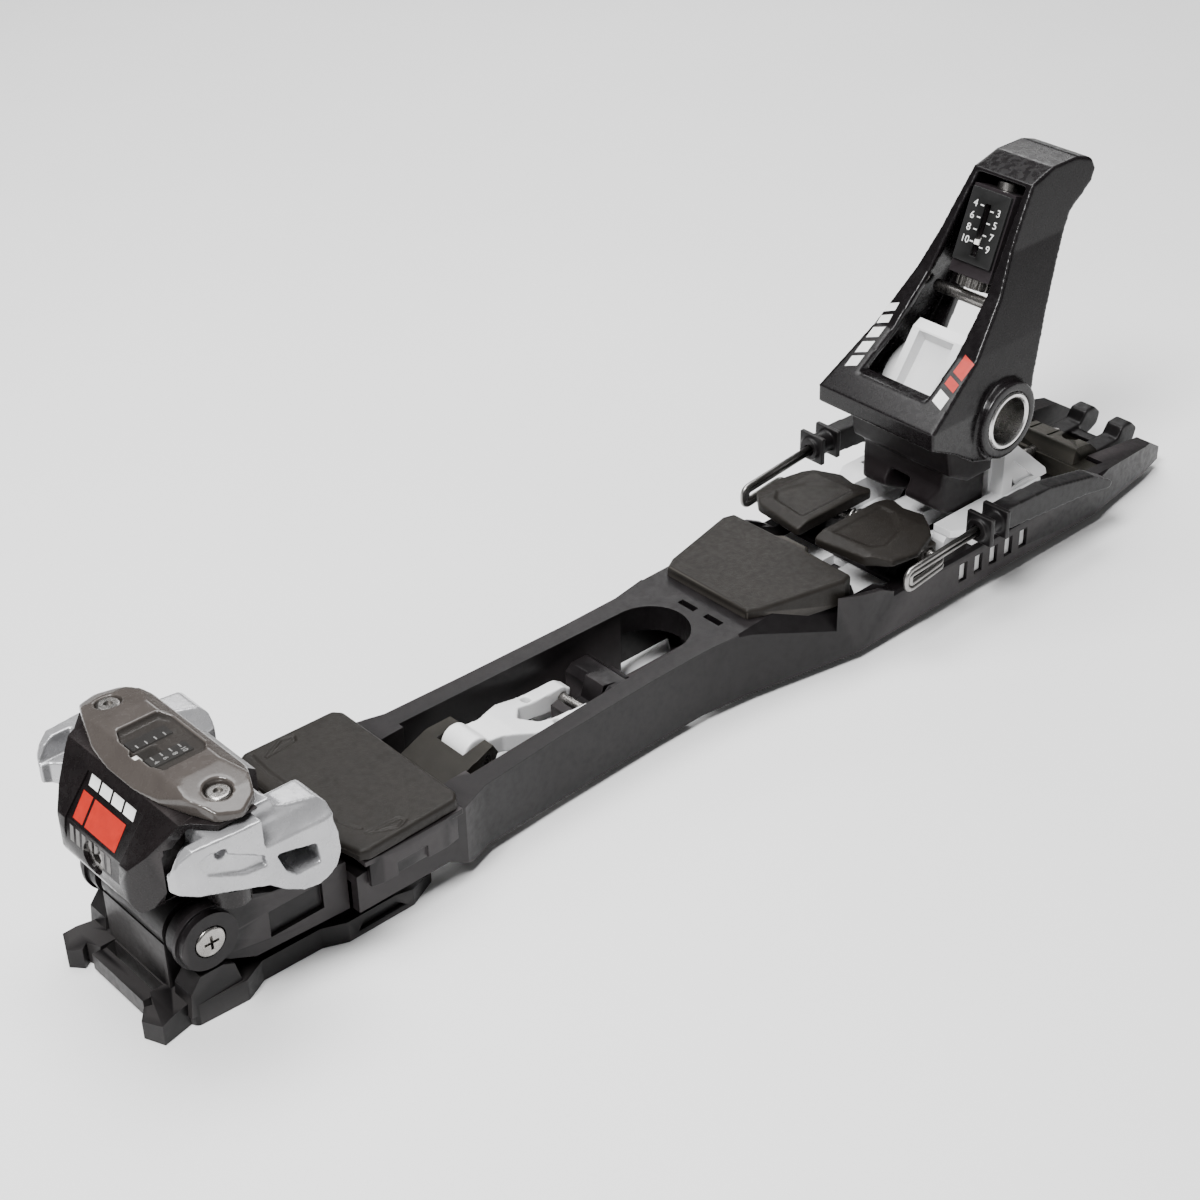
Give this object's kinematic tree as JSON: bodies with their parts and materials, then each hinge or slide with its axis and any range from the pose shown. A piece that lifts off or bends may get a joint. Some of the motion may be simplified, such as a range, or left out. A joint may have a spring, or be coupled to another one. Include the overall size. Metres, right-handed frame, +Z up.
{
  "type": "ski touring binding",
  "caption": "Frame-type ski touring binding: toe piece and heel unit on a long frame that tilts about a toe pivot, with brake, walk latch and climbing aid.",
  "frame": {"origin": "centre of the toe base's four-screw pattern, on the ski's top sheet", "axes": "+X from toe to heel along the ski, +Y across the ski, +Z up from the ski"},
  "size_m": [0.5, 0.098, 0.1535],
  "materials": {
    "frame_plastic": "satin black with a plum tint",
    "base_plastic": "satin black",
    "housing_plastic": "gloss black",
    "cover_plastic": "smoky taupe",
    "pad_plastic": "fine-grained dark olive grey",
    "wing_cast": "satin silver paint over a casting",
    "white_cast": "bright white coated casting",
    "rack_plastic": "white",
    "steel": "bright drawn steel",
    "tube_steel": "turned and brushed",
    "spring_steel": "drawn spring wire",
    "window": "smoked clear",
    "scale": "black with white marks",
    "indicator": "off-white",
    "shell_plastic": "gloss black",
    "treadle_plastic": "satin plum grey",
    "lever_plastic": "satin dark olive",
    "bush_plastic": "grey",
    "tail_plastic": "dark olive, textured"
  },
  "bodies": {
    "ski_base": {"toe_base": "base_plastic", "pivot_axle": "steel", "pivot_screws": "steel", "rear_base": "base_plastic", "riser_pin": "steel"},
    "climbing_aid": {"climbing_aid": "base_plastic"},
    "frame": {"toe_carrier": "frame_plastic", "pivot_bushes": "bush_plastic", "main_frame": "frame_plastic", "rack_strips": "rack_plastic", "lever_pin": "steel", "heel_pad": "pad_plastic", "adjuster_block": "tail_plastic", "toe_housing": "housing_plastic", "toe_cover": "cover_plastic", "toe_cover_screws": "steel", "toe_window": "window", "toe_scale": "scale", "wing_pins": "steel", "toe_spring": "spring_steel", "toe_plunger": "bush_plastic", "pad_bridge": "steel"},
    "toe_screw": {"toe_setting_screw": "steel"},
    "toe_nut": {"toe_spring_nut": "indicator"},
    "wing_far": {"wing_far": "wing_cast"},
    "wing_near": {"wing_near": "wing_cast"},
    "pad_screw": {"pad_height_screw": "steel"},
    "pad_carrier": {"pad_carrier": "frame_plastic"},
    "gliding_pad": {"gliding_pad": "pad_plastic"},
    "mode_lever": {"mode_lever": "lever_plastic", "link_pin": "steel"},
    "mode_fork": {"mode_fork": "white_cast", "fork_pin": "steel"},
    "latch_slider": {"latch_slider": "frame_plastic"},
    "carriage": {"heel_carriage": "white_cast", "axle_tube": "tube_steel", "cam_bracket": "white_cast", "brake_bracket": "frame_plastic"},
    "length_screw": {"length_screw": "steel"},
    "brake": {"brake_shaft": "steel", "brake_pedal_far": "pad_plastic", "brake_pedal_near": "pad_plastic", "brake_arms": "steel", "brake_feet": "base_plastic", "brake_spring": "spring_steel"},
    "heel_unit": {"heel_shell": "shell_plastic", "treadle": "treadle_plastic", "spring_housing": "treadle_plastic", "scale_plate": "scale", "knurled_wheel": "steel", "heel_spring": "spring_steel", "cross_pin": "steel"},
    "heel_screw": {"heel_setting_screw": "steel"},
    "heel_nut": {"heel_spring_nut": "indicator"}
  },
  "joints": [
    {"name": "frame_pivot", "type": "hinge", "parent": "ski_base", "child": "frame", "pos_m": [-0.036, 0, 0.029], "axis": [0, -1, 0], "range_deg": [0, 90]},
    {"name": "climbing_aid_flip", "type": "hinge", "parent": "ski_base", "child": "climbing_aid", "pos_m": [0.409, 0, 0.0105], "axis": [0, -1, 0], "range_deg": [0, 90]},
    {"name": "wing_far_swing", "type": "hinge", "parent": "frame", "child": "wing_far", "pos_m": [-0.027, 0.0294, 0.06], "axis": [0, 0, 1], "range_deg": [0, 15], "stiffness_Nm_per_rad": 20},
    {"name": "wing_near_swing", "type": "hinge", "parent": "frame", "child": "wing_near", "pos_m": [-0.027, -0.0294, 0.06], "axis": [0, 0, -1], "range_deg": [0, 15], "stiffness_Nm_per_rad": 20},
    {"name": "toe_screw_turn", "type": "hinge", "parent": "frame", "child": "toe_screw", "pos_m": [-0.05, 0, 0.0545], "axis": [1, 0, 0], "range_deg": [-2, 1732]},
    {"name": "toe_nut_slide", "type": "slide", "parent": "frame", "child": "toe_nut", "axis": [1, 0, 0], "range_m": [0, 0.006]},
    {"name": "pad_screw_turn", "type": "hinge", "parent": "frame", "child": "pad_screw", "pos_m": [0.038, 0, 0.02], "axis": [0, 0, 1], "range_deg": [-2, 1084]},
    {"name": "pad_carrier_rise", "type": "slide", "parent": "frame", "child": "pad_carrier", "axis": [0, 0, 1], "range_m": [0, 0.003]},
    {"name": "pad_glide", "type": "slide", "parent": "pad_carrier", "child": "gliding_pad", "axis": [0, 1, 0], "range_m": [-0.005, 0.005], "stiffness_N_per_m": 600},
    {"name": "mode_lever_lift", "type": "hinge", "parent": "frame", "child": "mode_lever", "pos_m": [0.066, 0, 0.017], "axis": [0, -1, 0], "range_deg": [0, 70]},
    {"name": "mode_fork_swing", "type": "hinge", "parent": "mode_lever", "child": "mode_fork", "pos_m": [0.085, 0, 0.024], "axis": [0, -1, 0], "range_deg": [-86.5, 0]},
    {"name": "latch_slide", "type": "slide", "parent": "frame", "child": "latch_slider", "axis": [-1, 0, 0], "range_m": [0, 0.0234]},
    {"name": "carriage_slide", "type": "slide", "parent": "frame", "child": "carriage", "axis": [1, 0, 0], "range_m": [-0.004, 0.025]},
    {"name": "length_screw_turn", "type": "hinge", "parent": "frame", "child": "length_screw", "pos_m": [0.38, 0, 0.018], "axis": [1, 0, 0], "range_deg": [-901, 4501]},
    {"name": "brake_deploy", "type": "hinge", "parent": "carriage", "child": "brake", "pos_m": [0.281, 0, 0.03], "axis": [0, 1, 0], "range_deg": [0, 60]},
    {"name": "heel_open", "type": "hinge", "parent": "carriage", "child": "heel_unit", "pos_m": [0.327, 0, 0.068], "axis": [0, 1, 0], "range_deg": [0, 50]},
    {"name": "heel_screw_turn", "type": "hinge", "parent": "heel_unit", "child": "heel_screw", "pos_m": [0.3485, 0, 0.12402], "axis": [0.3584, 0, 0.9336], "range_deg": [-2, 2884]},
    {"name": "heel_nut_slide", "type": "slide", "parent": "heel_unit", "child": "heel_nut", "axis": [0.3584, 0, 0.9336], "range_m": [0, 0.012]}
  ],
  "couplings": [
    {"joint": "toe_screw_turn", "follows": "toe_nut_slide", "rad_per_m": 5026.5},
    {"joint": "pad_screw_turn", "follows": "pad_carrier_rise", "rad_per_m": 6283.2},
    {"joint": "mode_fork_swing", "follows": "mode_lever_lift", "ratio": -1.23},
    {"joint": "latch_slide", "follows": "mode_lever_lift", "m_per_rad": 0.01899},
    {"joint": "length_screw_turn", "follows": "carriage_slide", "rad_per_m": 3141.6},
    {"joint": "heel_screw_turn", "follows": "heel_nut_slide", "rad_per_m": 4188.8}
  ]
}
